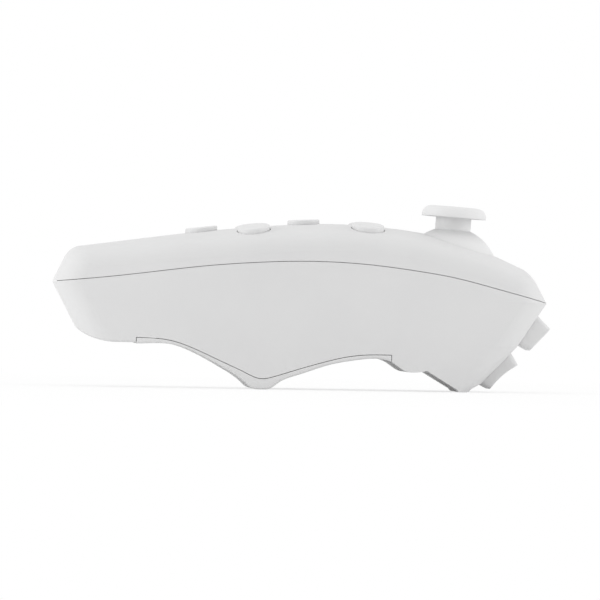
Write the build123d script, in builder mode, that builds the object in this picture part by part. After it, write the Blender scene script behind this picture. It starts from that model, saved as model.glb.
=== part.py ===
from build123d import *
import os
from math import cos, hypot, radians, sin, sqrt

# Hand-held wireless remote with a thumbstick, six top buttons and two front triggers, in millimetres.
# +X points forward to the nose, +Y to the left, +Z up, and Z = 0 is the table that it stands on.

# Body, with x measured from the middle of the overall length
rear_tip_x = -65.0
rear_tip_z = 27.2
nose_tip_x = 63.7
nose_tip_z = 23.4
body_width = 36.0
wall = 2.0
top_round = 5.0
under_round = 0.6

# Lean of the end walls: how far they draw in for each millimetre away from the plane through both tips
rear_lean_up = 0.448
rear_lean_down = 0.57
nose_lean_up = 0.58
nose_lean_down = 0.62
nose_knee_depth = 11.65
nose_lean_below_knee = 0.902
block_top = 20.0
block_bottom = -26.0

# Plan outline: long gentle tapers and round corners
rear_taper_start = -15.0
rear_taper_radius = 188.0
nose_taper_length = 16.0
nose_taper_radius = 45.0
rear_corner = 9.0
nose_corner = 8.0

# Crowned top: the crest along the middle, and the radius across it
crown_radius = 47.0
crest_points = [
    (-72.0, 34.9), (-57.9, 36.55), (-31.9, 40.1), (-7.1, 42.65), (7.3, 43.3),
    (22.9, 42.45), (38.6, 39.75), (50.5, 35.6), (58.3, 32.1), (72.0, 26.0),
]

# Seam between the shells, with its lip
seam_gap = 0.16
lip_height = 1.5
lip_thickness = 0.8
lip_play = 0.1
seam_points = [
    (-75.0, 26.3), (rear_tip_x, rear_tip_z), (-52.5, 28.4), (-39.5, 30.0), (-27.1, 31.6), (-13.5, 32.8),
    (-1.0, 33.35), (8.6, 33.25), (18.9, 32.55), (29.2, 31.3), (39.5, 29.6), (50.0, 27.0),
    (nose_tip_x, nose_tip_z), (75.0, 19.8),
]

# Underside, from the tail to the nose
tail_under = [(-62.0, 19.0), (-57.2, 14.2), (-54.7, 12.9), (-51.7, 11.95), (-48.0, 11.65)]
grip_under = [(-39.2, 11.5), (-33.6, 11.2), (-28.3, 9.45), (-20.2, 5.2), (-14.75, 1.5), (-11.7, 0.0)]
arch_under = [
    (-9.8, 0.0), (-6.3, 1.8), (-1.2, 3.9), (6.5, 6.5), (14.2, 8.0), (18.3, 8.4),
    (21.2, 8.15), (23.4, 7.35), (25.2, 6.1), (27.0, 5.1), (29.2, 4.95), (32.2, 5.45),
]
lobe_start = (40.0, 0.75)
lobe_flat = (41.0, 42.6)
lobe_under = [(43.9, 0.7), (46.2, 2.0)]

# Battery cover
cover_rear_x = -43.4
cover_front_x = 23.0
cover_step = 0.3
cover_gap = 0.16
cover_line = [
    (-48.0, 13.0), (-40.8, 12.9), (-34.5, 12.3), (-26.8, 9.6), (-19.5, 6.3), (-15.3, 4.4), (-10.9, 2.75),
    (-7.6, 3.3), (-1.2, 5.35), (5.1, 7.2), (11.5, 8.75), (16.1, 9.3), (20.3, 9.4), (28.0, 9.4),
]
deck = 1.5

# Battery bay for two AAA cells
cell_radius = 5.25
cell_length = 43.7
cell_nub_radius = 1.9
cell_nub_length = 0.8
cell_edge = 0.5
cell_spacing = 11.0
cell_z = 19.2
cell_play = 0.3
cell_rear_x = -32.6
spring_length = 4.6
contact_thickness = 0.4
contact_play = 0.1
contact_tail = 1.0
contact_half = 4.2
tail_width = 2.0
wire_radius = 0.5
wire_bend = 1.2
wire_shift = 5.0
spring_wire_radius = 0.3
spring_coil_radius = 2.6
spring_turns = 3
rib_spots = [-26.0, -9.0, 8.0]
rib_thickness = 1.6
rib_top = 16.6
rim_thickness = 1.0
bay_wall = 1.2

# Buttons on the top
button_radius = 4.2
button_proud = 1.2
button_play = 0.25
button_flange = 1.0
button_flange_height = 0.9
button_stem_radius = 1.7
button_edge = 0.4
collar_depth = 1.6
collar_wall = 1.3
flange_play = 0.15
button_pitch = 13.35
button_side = 9.0
diamond_x = -13.0
menu_x = 16.8

# Main board and keypad
board_top = 31.2
board_thickness = 1.6
board_rear_x = -41.0
board_front_x = 24.0
board_width = 27.0
board_corner = 2.0
ribbon_y = 6.5
ribbon_width = 5.0
ribbon_thickness = 0.5
ribbon_bend = 1.0
ribbon_rise_x = 24.6
ribbon_end_x = 22.0
connector_length = 5.0
connector_width = 7.0
connector_height = 2.0
pad_sheet = 0.8
pad_wall = 0.6
dome_height = 1.8
dome_foot_radius = 4.0
dome_top_radius = 2.6
dome_floor = 1.0
boss_radius = 2.2
boss_hole_play = 0.4
board_screw_spots = [(-37.5, 8.5), (-37.5, -8.5), (2.0, 10.5), (2.0, -10.5)]

# Screws: shank, head and the pilot hole's play round the shank
small_screw_radius = 0.8
small_screw_head = 1.5
small_screw_length = 5.0
big_screw_radius = 0.95
big_screw_head = 1.9
big_screw_length = 8.0
head_height = 1.3
thread_play = 0.02
pilot_spare = 0.5
socket_radius = 0.8
socket_depth = 0.7

# Screws that hold the shells together: x, y and the height of the seat under the head
shell_screw_spots = [(-50.0, 7.5, 20.5), (-50.0, -7.5, 20.5), (18.8, 0.0, 20.5)]
well_radius = 3.2
well_hole_radius = 2.2
seat_thickness = 1.6
pillar_radius = 2.6
pillar_gap = 0.1

# Thumbstick: everything is set out from the pivot, which leans forward
pivot_x = 38.7
pivot_z = 30.2
stick_lean = 3.9
dome_radius = 12.9
dome_wall = 1.2
dome_play = 0.35
dome_rim = 2.7
stalk_radius = 4.65
cap_radius = 8.45
cap_bottom = 15.35
cap_top = 18.15
cap_round = 2.4
cap_hollow = 0.7
cap_rim = 0.8
cap_dish = 0.5
cap_dish_radius = 4.9
stick_bore_bottom = 5.5
stick_bore_wall = 1.4
shaft_radius = 2.0
shaft_top = 13.0
shaft_ball = 2.4
shaft_play = 0.05

# Thumbstick module
module_width = 12.0
module_top = 3.2
module_bottom = -6.2
module_wall = 0.8
module_mouth = 4.6
gimbal_length = 8.4
gimbal_width = 7.4
gimbal_height = 2.2
gimbal_window_length = 6.2
gimbal_window_width = 5.2
axle_radius = 0.9
axle_play = 0.05
cross_pin_radius = 0.6
pot_thickness = 2.2
pot_width = 9.0
stick_board_thickness = 1.2
stick_board_length = 24.0
stick_board_width = 29.0
stick_post_x = 10.0
stick_post_y = 12.6
plunger_height = 0.8
plunger_radius = 3.0
spring_radius = 2.6
spring_wire = 0.5

# Triggers on the front face: the frame's origin lies on the face between them
trigger_origin = (56.1, 11.9)
trigger_slope = 45.4
trigger_width = 14.0
trigger_play = 0.25
trigger_corner = 1.2
trigger_edge = 0.3
upper_trigger_face = [(1.09, 0.3), (1.91, 3.2), (9.8, 3.0), (9.84, -0.8)]
lower_trigger_face = [(-13.6, -0.1), (-12.53, 3.09), (-2.89, 3.76), (-1.95, 0.2)]
lower_trigger_hollow = 0.62
upper_flange_depth = 4.1
lower_flange_depth = 1.9
trigger_flange = 0.9
trigger_flange_height = 0.8
trigger_stem_radius = 1.6
trigger_dome_height = 1.6
trigger_board_depth = 9.0
trigger_board_thickness = 1.2
trigger_board_low = -12.4
trigger_board_high = 8.2
trigger_board_width = 26.0
trigger_post_s = -0.4
trigger_post_y = 11.0
trigger_post_radius = 2.0

# Mode switch in the left wall
switch_x = -8.0
switch_z = 27.6
switch_travel = 2.0
switch_body_length = 6.6
switch_body_width = 2.8
knob_length = 4.4
knob_height = 2.4
knob_play = 0.2
knob_sink = 0.35
knob_ridge = 0.35
knob_flange = 0.8

# Status light
light_x = 8.7
light_radius = 1.1
led_height = 0.8
light_gap = 0.2

reach = body_width / 2 + 6
sky = 50.0
ground = -20.0
upright = (Align.CENTER, Align.CENTER, Align.MIN)
hanging = (Align.CENTER, Align.CENTER, Align.MAX)
half_width = body_width / 2

# The plane through both tips, which lean slightly nose down
half_length = hypot(nose_tip_x - rear_tip_x, nose_tip_z - rear_tip_z) / 2
tip_plane = Plane(
    origin=((rear_tip_x + nose_tip_x) / 2, 0, (rear_tip_z + nose_tip_z) / 2),
    x_dir=(nose_tip_x - rear_tip_x, 0, nose_tip_z - rear_tip_z),
    z_dir=(rear_tip_z - nose_tip_z, 0, nose_tip_x - rear_tip_x),
)


def rear_end(level):
    """Where the rear wall stands at a height above the tip plane."""
    if level > 0:
        return -half_length + rear_lean_up * level
    return -half_length - rear_lean_down * level


def nose_end(level):
    """Where the nose wall stands at a height above the tip plane."""
    if level > 0:
        return half_length - nose_lean_up * level
    upper_part = max(level, -nose_knee_depth)
    lower_part = level - upper_part
    return half_length + nose_lean_down * upper_part + nose_lean_below_knee * lower_part


def outline(level, inset):
    """Plan outline of the body at one level, drawn in by the inset."""
    rear = rear_end(level) + inset
    nose = nose_end(level) - inset
    side = half_width - inset
    rear_r = rear_taper_radius - inset
    nose_r = nose_taper_radius - inset
    nose_start = nose_end(level) - nose_taper_length

    def rear_side(x):
        return side - rear_r + sqrt(rear_r**2 - (x - rear_taper_start) ** 2)

    def nose_side(x):
        return side - nose_r + sqrt(nose_r**2 - (x - nose_start) ** 2)

    rear_middle = (rear + rear_taper_start) / 2
    nose_middle = (nose + nose_start) / 2
    with BuildSketch(tip_plane.offset(level)) as plan:
        with BuildLine():
            for s in (1, -1):
                ThreePointArc(
                    (rear, s * rear_side(rear)),
                    (rear_middle, s * rear_side(rear_middle)),
                    (rear_taper_start, s * side),
                )
                Line((rear_taper_start, s * side), (nose_start, s * side))
                ThreePointArc(
                    (nose_start, s * side),
                    (nose_middle, s * nose_side(nose_middle)),
                    (nose, s * nose_side(nose)),
                )
            Line((rear, rear_side(rear)), (rear, -rear_side(rear)))
            Line((nose, nose_side(nose)), (nose, -nose_side(nose)))
        make_face()
        fillet(plan.vertices().sort_by(Axis.X)[:2], rear_corner - inset)
        fillet(plan.vertices().sort_by(Axis.X)[-2:], nose_corner - inset)
    return plan.sketch


with BuildLine() as crest:
    Spline(*[(x, 0, z) for x, z in crest_points])
crest_edge = crest.edges()[0]


def crown_drop(y, lift=0.0):
    """How far the crowned top falls from the crest line at a distance to the side."""
    r = crown_radius + lift
    return r - sqrt(r**2 - y**2)


def crown_height(x, y):
    """Height of the top's surface, by halving the stretch of crest that holds x."""
    low, high = 0.0, 1.0
    for _ in range(40):
        middle = (low + high) / 2
        if (crest_edge @ middle).X < x:
            low = middle
        else:
            high = middle
    return (crest_edge @ low).Z - crown_drop(y)


def above_crown(lift):
    """Everything above the crowned top, with that surface moved outwards by lift."""
    start = Plane(origin=crest_edge @ 0, x_dir=(0, 1, 0), z_dir=crest_edge % 0)
    edge_y = lift - crown_drop(reach, lift)
    cutter_top = 16.0
    with BuildPart() as cutter:
        with BuildSketch(start):
            with BuildLine():
                ThreePointArc((-reach, edge_y), (0, lift), (reach, edge_y))
                Polyline((reach, edge_y), (reach, cutter_top), (-reach, cutter_top), (-reach, edge_y))
            make_face()
        sweep(path=crest_edge)
    return cutter.part


def body_block(inset):
    """The whole body without its underside, drawn in by the inset all round."""
    levels = (block_top, 0, -nose_knee_depth, block_bottom)
    sections = [outline(level, inset) for level in levels]
    cutter = above_crown(-inset)
    with BuildPart() as block:
        loft(sections=sections, ruled=True)
        add(cutter, mode=Mode.SUBTRACT)
        fillet(block.faces().sort_by(Axis.Z)[-1].edges(), top_round - inset)
    return block.part


def beside_curve(points, lift, far_z, x_range=None):
    """Everything between a side-view curve, moved up by lift, and a far level."""
    with BuildPart() as region:
        with BuildSketch(Plane.XZ.offset(-reach)):
            with BuildLine():
                curve = Spline(*[(x, z + lift) for x, z in points])
                start, end = curve @ 0, curve @ 1
                Polyline(end, (end.X, far_z), (start.X, far_z), start)
            make_face()
        extrude(amount=2 * reach)
        if x_range:
            with Locations(((x_range[0] + x_range[1]) / 2, 0, 0)):
                Box(x_range[1] - x_range[0], 3 * reach, 3 * sky, mode=Mode.INTERSECT)
    return region.part


def above_underside(lift):
    """Everything above the body's underside, moved up by lift."""

    def raised(points):
        return [(x, z + lift) for x, z in points]

    flat_z = tail_under[-1][1]
    corner = arch_under[-1]
    with BuildPart() as region:
        with BuildSketch(Plane.XZ.offset(-reach)):
            with BuildLine():
                tail = Spline(*raised(tail_under), tangents=[(1, -1), (1, 0)])
                Polyline(
                    tail @ 1,
                    (cover_rear_x, flat_z + lift),
                    (cover_rear_x, flat_z - cover_step + lift),
                )
                grip_start = (cover_rear_x, flat_z - cover_step)
                grip = Spline(*raised([grip_start] + grip_under), tangents=[(1, 0), (1, 0)])
                Line(grip @ 1, raised(arch_under)[0])
                Spline(*raised(arch_under), tangents=[(1, 0.05), (1, 0.3)])
                Line(raised([corner])[0], raised([lobe_start])[0])
                slope = (lobe_start[0] - corner[0], lobe_start[1] - corner[1])
                Spline(*raised([lobe_start, (lobe_flat[0], 0.0)]), tangents=[slope, (1, 0)])
                Line(raised([(lobe_flat[0], 0.0)])[0], raised([(lobe_flat[1], 0.0)])[0])
                front = Spline(*raised([(lobe_flat[1], 0.0)] + lobe_under), tangents=[(1, 0), (1, 0.58)])
                Polyline(front @ 1, (80, 21.4 + lift), (80, sky), (-80, sky), (-80, 37 + lift), tail @ 0)
            make_face()
        extrude(amount=2 * reach)
    return region.part


def post(x, y, low, high, radius, mode=Mode.ADD, frame=Plane.XY):
    """A round post or hole, upright in the given frame, in the piece that is being made."""
    with Locations(frame.location * Location((x, y, low))):
        Cylinder(radius, high - low, align=upright, mode=mode)


def brick(x_range, y_range, z_range, mode=Mode.ADD, frame=Plane.XY):
    """A block over the given ranges of a frame in the piece that is being made."""
    centre = [(low + high) / 2 for low, high in (x_range, y_range, z_range)]
    size = [high - low for low, high in (x_range, y_range, z_range)]
    with Locations(frame.location * Location(tuple(centre))):
        Box(*size, mode=mode)


def round_underside(piece, x_limit):
    """Rounds the long side edges of the underside, as far forward as the limit."""
    under = [
        face
        for face in piece.faces()
        if face.normal_at().Z < -0.3 and abs(face.normal_at().Y) < 0.01
        and abs(face.center().Y) < 1 and face.center().Z < tail_under[0][1] and face.center().X < x_limit
    ]
    ends = [edge for face in under for edge in face.edges()]
    sides = [edge for edge in ends if abs((edge @ 0.5).Y) > 5]
    fillet(sides, under_round)


def finish(piece, name):
    """Labels a finished piece and writes its file."""
    piece.part.label = name
    export_step(piece.part, f"parts/{name}.step")


os.makedirs("parts", exist_ok=True)

# Shared shapes that the shells and the cover are cut from
outer = body_block(0.0)
inner = body_block(wall)
lip_outside = body_block(wall - lip_thickness)
rebate_outside = body_block(wall - lip_thickness - lip_play)
clear_of_wall = body_block(wall / 2)
hull_floor = above_underside(0.0)
cavity_floor = above_underside(wall)
upper_side = beside_curve(seam_points, seam_gap / 2, sky)
lower_side = beside_curve(seam_points, -seam_gap / 2, ground)
lip_zone = beside_curve(seam_points, lip_height, ground) & beside_curve(seam_points, -wall, sky)
rebate_zone = beside_curve(seam_points, lip_height + lip_play, ground)

# Places worked out from the driving sizes
stick_plane = Plane(
    origin=(pivot_x, 0, pivot_z),
    x_dir=(cos(radians(stick_lean)), 0, -sin(radians(stick_lean))),
    z_dir=(sin(radians(stick_lean)), 0, cos(radians(stick_lean))),
)
stick_board_top = module_bottom
stick_board_bottom = stick_board_top - stick_board_thickness
slope = radians(trigger_slope)
trigger_plane = Plane(
    origin=(trigger_origin[0], 0, trigger_origin[1]),
    x_dir=(cos(slope), 0, sin(slope)),
    z_dir=(sin(slope), 0, -cos(slope)),
)
trigger_side = Plane(origin=trigger_plane.origin, x_dir=trigger_plane.x_dir, z_dir=(0, 1, 0))
board_bottom = board_top - board_thickness
pad_top = board_top + pad_sheet
dome_top = pad_top + dome_height
bay_rear_x = cell_rear_x - spring_length - contact_thickness
bay_front_x = cell_rear_x + cell_length + cell_nub_length + contact_play + contact_thickness
bay_half_width = cell_spacing / 2 + cell_radius + cell_play
bay_roof = cell_z + cell_radius + cell_play
button_spots = {
    "diamond_rear_button": (diamond_x - button_pitch, 0.0),
    "diamond_left_button": (diamond_x, button_side),
    "diamond_right_button": (diamond_x, -button_side),
    "diamond_front_button": (diamond_x + button_pitch, 0.0),
    "menu_left_button": (menu_x, button_side),
    "menu_right_button": (menu_x, -button_side),
}
collar_heights = {
    name: crown_height(x, y) - wall - collar_depth for name, (x, y) in button_spots.items()
}
stick_posts = [(s * stick_post_x, t * stick_post_y) for s in (1, -1) for t in (1, -1)]
switch_slot = (
    (switch_x - knob_length / 2 - knob_play, switch_x + switch_travel + knob_length / 2 + knob_play),
    (switch_z - knob_height / 2 - knob_play, switch_z + knob_height / 2 + knob_play),
)

# Everything that hangs from the inside of the upper shell, before it is trimmed to the shell
with BuildPart() as upper_inside:
    for name, (x, y) in button_spots.items():
        outside = button_radius + button_play + collar_wall
        post(x, y, collar_heights[name], sky, outside)
    for x, y in board_screw_spots:
        post(x, y, board_top, sky, boss_radius)
    for x, y, seat in shell_screw_spots:
        post(x, y, seat + seat_thickness + pillar_gap, sky, pillar_radius)
    post(light_x, 0, pad_top + collar_depth, sky, light_radius + collar_wall)
    for x, y in stick_posts:
        post(x, y, stick_board_top, pivot_z, boss_radius, frame=stick_plane)
    add(clear_of_wall, mode=Mode.INTERSECT)

with BuildPart() as upper_shell:
    add(outer)
    add(upper_side, mode=Mode.INTERSECT)
    add(inner, mode=Mode.SUBTRACT)
    add(rebate_outside & rebate_zone, mode=Mode.SUBTRACT)
    add(upper_inside.part)
    for name, (x, y) in button_spots.items():
        post(x, y, board_top + 1, sky, button_radius + button_play, mode=Mode.SUBTRACT)
    for x, y in board_screw_spots:
        pilot_top = board_bottom + small_screw_length + pilot_spare
        post(x, y, board_top, pilot_top, small_screw_radius + thread_play, mode=Mode.SUBTRACT)
    for x, y in stick_posts:
        pilot_top = stick_board_bottom + small_screw_length + pilot_spare
        pilot_radius = small_screw_radius + thread_play
        post(x, y, stick_board_top, pilot_top, pilot_radius, mode=Mode.SUBTRACT, frame=stick_plane)
    for x, y, seat in shell_screw_spots:
        pilot_top = seat + big_screw_length + pilot_spare
        post(x, y, seat, pilot_top, big_screw_radius + thread_play, mode=Mode.SUBTRACT)
    post(light_x, 0, board_top, sky, light_radius + thread_play, mode=Mode.SUBTRACT)
    with Locations((pivot_x, 0, pivot_z)):
        Sphere(dome_radius + dome_play, mode=Mode.SUBTRACT)
finish(upper_shell, "upper_shell")

# The zone that belongs to the battery cover, and the deck above it
cover_ends = (cover_rear_x, cover_front_x)
cover_body_ends = (cover_rear_x + cover_gap, cover_front_x - cover_gap)
cover_body = beside_curve(cover_line, -cover_gap / 2, ground, cover_body_ends)
cover_pocket = beside_curve(cover_line, cover_gap / 2, ground, cover_ends)
deck_ends = (cover_rear_x - wall, cover_front_x + wall)
deck_zone = beside_curve(cover_line, cover_gap / 2 + deck, ground, deck_ends)
above_cover = beside_curve(cover_line, cover_gap / 2, sky, cover_ends)

# The bay's walls, before they join the lower shell
with BuildPart() as bay_block:
    brick(
        (bay_rear_x - bay_wall, bay_front_x + bay_wall),
        (-bay_half_width - bay_wall, bay_half_width + bay_wall),
        (0, bay_roof + bay_wall),
    )
    add(above_cover, mode=Mode.INTERSECT)

# The two triggers have the same outline in the shell's holes and in the moving pieces
trigger_shapes = {
    "upper_trigger": (upper_trigger_face, 0.0, upper_flange_depth),
    "lower_trigger": (lower_trigger_face, lower_trigger_hollow, lower_flange_depth),
}


def trigger_stretch(face_points):
    """Where a trigger's shank starts and ends along the front face."""
    along = [s for s, height in face_points]
    return min(along), max(along)


with BuildPart() as lower_inside:
    add(bay_block.part)
    for x, y, seat in shell_screw_spots:
        post(x, y, 0, seat + seat_thickness, well_radius)
    add(hull_floor, mode=Mode.INTERSECT)
    add(clear_of_wall, mode=Mode.INTERSECT)
    for x, y, seat in shell_screw_spots:
        if cover_rear_x < x < cover_front_x:
            add(cover_pocket, mode=Mode.SUBTRACT)

with BuildPart() as trigger_posts:
    for side in (1, -1):
        post(
            trigger_post_s, side * trigger_post_y, -trigger_board_depth, 2.0, trigger_post_radius,
            frame=trigger_plane,
        )
    add(clear_of_wall, mode=Mode.INTERSECT)

with BuildPart() as lower_shell:
    add(outer)
    add(lower_side, mode=Mode.INTERSECT)
    add(hull_floor, mode=Mode.INTERSECT)
    add(cover_pocket, mode=Mode.SUBTRACT)
    round_underside(lower_shell, cover_rear_x)
    add((inner & cavity_floor) - deck_zone, mode=Mode.SUBTRACT)
    add((lip_outside - inner) & lip_zone)
    add(lower_inside.part)
    add(trigger_posts.part)
    brick((bay_rear_x, bay_front_x), (-bay_half_width, bay_half_width), (ground, bay_roof), Mode.SUBTRACT)
    for side in (1, -1):
        middle = side * cell_spacing / 2
        brick(
            (bay_front_x - contact_thickness - contact_play, bay_front_x),
            (middle - tail_width / 2 - contact_play, middle + tail_width / 2 + contact_play),
            (bay_roof, bay_roof + bay_wall),
            Mode.SUBTRACT,
        )
    for x, y, seat in shell_screw_spots:
        post(x, y, ground, seat, well_hole_radius, mode=Mode.SUBTRACT)
        post(x, y, seat, seat + seat_thickness, big_screw_radius + cell_play, mode=Mode.SUBTRACT)
    for face_points, hollow, depth in trigger_shapes.values():
        low, high = trigger_stretch(face_points)
        with BuildSketch(trigger_plane.offset(-depth)):
            with Locations(((low + high) / 2, 0)):
                RectangleRounded(
                    high - low + 2 * trigger_play,
                    trigger_width + 2 * trigger_play,
                    trigger_corner + trigger_play,
                )
        extrude(amount=depth + 6, mode=Mode.SUBTRACT)
    brick(switch_slot[0], (half_width - wall - 1, half_width + 1), switch_slot[1], Mode.SUBTRACT)
    for side in (1, -1):
        pilot_low = -trigger_board_depth
        pilot_high = pilot_low - trigger_board_thickness + small_screw_length + pilot_spare
        pilot_radius = small_screw_radius + thread_play
        post(trigger_post_s, side * trigger_post_y, pilot_low, pilot_high, pilot_radius,
             Mode.SUBTRACT, trigger_plane)
finish(lower_shell, "lower_shell")

# Ribs that cradle the cells, and a rim that guides the cover into the bay's mouth
with BuildPart() as cover_inside:
    mouth_x = (bay_rear_x + cover_gap, bay_front_x - cover_gap)
    mouth_y = bay_half_width - cover_gap
    brick(mouth_x, (-mouth_y, mouth_y), (0, sky))
    brick(
        (mouth_x[0] + rim_thickness, mouth_x[1] - rim_thickness),
        (rim_thickness - mouth_y, mouth_y - rim_thickness),
        (0, sky),
        Mode.SUBTRACT,
    )
    add(beside_curve(cover_line, cover_gap / 2 + deck, ground), mode=Mode.INTERSECT)
    for x in rib_spots:
        brick((x - rib_thickness / 2, x + rib_thickness / 2), (-mouth_y, mouth_y), (0, rib_top))
    for side in (1, -1):
        with Locations(Location((0, side * cell_spacing / 2, cell_z), (0, 90, 0))):
            Cylinder(cell_radius + cell_play, 3 * reach, mode=Mode.SUBTRACT)
    add(above_underside(wall / 4), mode=Mode.INTERSECT)

with BuildPart() as battery_cover:
    add(outer)
    add(hull_floor, mode=Mode.INTERSECT)
    add(cover_body, mode=Mode.INTERSECT)
    round_underside(battery_cover, cover_front_x)
    add(cover_inside.part)
finish(battery_cover, "battery_cover")

# Six round caps that slide straight down in their collars, with tops that follow the crown
proud_of_crown = above_crown(button_proud)
for name, (x, y) in button_spots.items():
    flange_top = collar_heights[name] - flange_play
    with BuildPart() as button:
        post(x, y, flange_top, sky, button_radius)
        add(proud_of_crown, mode=Mode.SUBTRACT)
        fillet(button.faces().sort_by(Axis.Z)[-1].edges(), button_edge)
        post(x, y, flange_top - button_flange_height, flange_top, button_radius + button_flange)
        post(x, y, dome_top, flange_top - button_flange_height, button_stem_radius)
    finish(button, name)

# Silicone keypad: a sheet on the board with a hollow dome under each button
with BuildPart() as keypad:
    brick(
        (diamond_x - button_pitch - dome_foot_radius - 2, menu_x + dome_foot_radius + 2),
        (-board_width / 2, board_width / 2),
        (board_top, pad_top),
    )
    for x, y in button_spots.values():
        with Locations((x, y, pad_top)):
            Cone(dome_foot_radius, dome_top_radius, dome_height, align=upright)
    for x, y in button_spots.values():
        with Locations((x, y, board_top)):
            Cone(
                dome_foot_radius - pad_wall,
                dome_top_radius - pad_wall,
                pad_sheet + dome_height - dome_floor,
                align=upright,
                mode=Mode.SUBTRACT,
            )
    for x, y in board_screw_spots:
        post(x, y, board_top, pad_top, boss_radius + boss_hole_play, mode=Mode.SUBTRACT)
    for x, y, seat in shell_screw_spots:
        post(x, y, board_top, pad_top, pillar_radius + boss_hole_play, mode=Mode.SUBTRACT)
    post(light_x, 0, board_top, pad_top, light_radius + boss_hole_play, mode=Mode.SUBTRACT)
finish(keypad, "keypad")

with BuildPart() as main_board:
    brick((board_rear_x, board_front_x), (-board_width / 2, board_width / 2), (board_bottom, board_top))
    chamfer(main_board.edges().filter_by(Axis.Z), board_corner)
    for x, y in board_screw_spots:
        post(x, y, board_bottom, board_top, small_screw_radius + thread_play, mode=Mode.SUBTRACT)
    for x, y, seat in shell_screw_spots:
        post(x, y, board_bottom, board_top, pillar_radius + boss_hole_play, mode=Mode.SUBTRACT)
finish(main_board, "main_board")

# What is soldered under the board
with BuildPart() as radio_module:
    brick((-36.0, -22.0), (-6.0, 6.0), (board_bottom - 2.0, board_bottom))
    chamfer(radio_module.faces().sort_by(Axis.Z)[0].edges(), 0.3)
finish(radio_module, "radio_module")

with BuildPart() as controller_chip:
    brick((-16.0, -9.0), (-3.5, 3.5), (board_bottom - 1.0, board_bottom))
    chamfer(controller_chip.faces().sort_by(Axis.Z)[0].edges(), 0.2)
finish(controller_chip, "controller_chip")

with BuildPart() as crystal:
    brick((-5.0, -1.8), (-1.25, 1.25), (board_bottom - 0.9, board_bottom))
finish(crystal, "crystal")

with BuildPart() as capacitors:
    with Locations(*[Location((x, y, board_bottom)) for x in (-19.0, -6.6, 4.0) for y in (-8.0, 8.0)]):
        Box(2.0, 1.2, 0.9, align=hanging)
finish(capacitors, "capacitors")

with BuildPart() as ribbon_connectors:
    for side in (1, -1):
        middle = side * ribbon_y
        brick(
            (ribbon_end_x - connector_length, ribbon_end_x),
            (middle - connector_width / 2, middle + connector_width / 2),
            (board_bottom - connector_height, board_bottom),
        )
finish(ribbon_connectors, "ribbon_connectors")

# Status light and the clear pipe that carries it to the surface
with BuildPart() as status_led:
    brick((light_x - 0.8, light_x + 0.8), (-0.6, 0.6), (board_top, board_top + led_height))
finish(status_led, "status_led")

flush_with_crown = above_crown(0.0)
with BuildPart() as light_pipe:
    post(light_x, 0, board_top + led_height + light_gap, sky, light_radius)
    add(flush_with_crown, mode=Mode.SUBTRACT)
finish(light_pipe, "light_pipe")

# Mode switch: its body hangs under the board's left edge, and the knob slides in the wall's slot
switch_face_y = board_width / 2
switch_middle = switch_x + switch_travel / 2
actuator = knob_height / 4
with BuildPart() as mode_switch:
    brick(
        (switch_middle - switch_body_length / 2, switch_middle + switch_body_length / 2),
        (switch_face_y - switch_body_width, switch_face_y),
        (switch_z - knob_height / 2, board_bottom),
    )
    brick(
        (switch_x - actuator - knob_play, switch_x + switch_travel + actuator + knob_play),
        (switch_face_y - switch_body_width / 2, switch_face_y),
        (switch_z - actuator - knob_play, switch_z + actuator + knob_play),
        Mode.SUBTRACT,
    )
finish(mode_switch, "mode_switch")

with BuildPart() as mode_switch_knob:
    slot_back = half_width - wall - knob_play
    brick(
        (switch_x - knob_length / 2, switch_x + knob_length / 2),
        (slot_back, half_width - knob_sink),
        (switch_z - knob_height / 2, switch_z + knob_height / 2),
    )
    with GridLocations(knob_length / 4, 1, 3, 1):
        with Locations((switch_x, half_width - knob_sink, switch_z)):
            Box(knob_ridge, 2 * knob_ridge, knob_height)
    brick(
        (switch_x - knob_length, switch_x + knob_length),
        (slot_back - knob_flange, slot_back),
        (switch_z - knob_height * 0.8, switch_z + knob_height * 0.8),
    )
    brick(
        (switch_x - actuator, switch_x + actuator),
        (switch_face_y - switch_body_width / 2 + knob_play, slot_back - knob_flange),
        (switch_z - actuator, switch_z + actuator),
    )
finish(mode_switch_knob, "mode_switch_knob")

# Thumbstick: cap, stalk and dome are one moulding, pressed onto the module's shaft
dish_sphere = (cap_dish_radius**2 + cap_dish**2) / (2 * cap_dish)
bore_radius = shaft_radius + thread_play
with BuildPart(stick_plane) as thumbstick:
    Sphere(dome_radius)
    Sphere(dome_radius - dome_wall, mode=Mode.SUBTRACT)
    brick((-reach, reach), (-reach, reach), (-reach, dome_rim), Mode.SUBTRACT)
    post(0, 0, stick_bore_bottom, cap_bottom + cap_hollow, bore_radius + stick_bore_wall)
    post(0, 0, dome_radius - 2 * dome_wall, cap_bottom + cap_hollow, stalk_radius)
    post(0, 0, cap_bottom, cap_top, cap_radius)
    circles = thumbstick.edges().filter_by(GeomType.CIRCLE)
    rim_edges = circles.filter_by(lambda edge: abs(edge.radius - cap_radius) < 0.01)
    fillet(rim_edges.sort_by(Axis(stick_plane.origin, stick_plane.z_dir))[-1], cap_round)
    hollow_floor = cap_bottom + cap_hollow
    post(0, 0, cap_bottom, hollow_floor, cap_radius - cap_rim, Mode.SUBTRACT)
    post(0, 0, dome_radius - 2 * dome_wall, hollow_floor, stalk_radius)
    with Locations((0, 0, cap_top - cap_dish + dish_sphere)):
        Sphere(dish_sphere, mode=Mode.SUBTRACT)
    post(0, 0, stick_bore_bottom, shaft_top + shaft_play, bore_radius, Mode.SUBTRACT)
finish(thumbstick, "thumbstick")

with BuildPart(stick_plane) as stick_shaft:
    post(0, 0, 0, shaft_top, shaft_radius)
    chamfer(stick_shaft.faces().sort_by(Axis.Z)[-1].edges(), shaft_radius / 6)
    Sphere(shaft_ball)
    with Locations(Location((0, 0, 0), (90, 0, 0))):
        Cylinder(cross_pin_radius + thread_play, 3 * shaft_ball, mode=Mode.SUBTRACT)
finish(stick_shaft, "stick_shaft")

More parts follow.
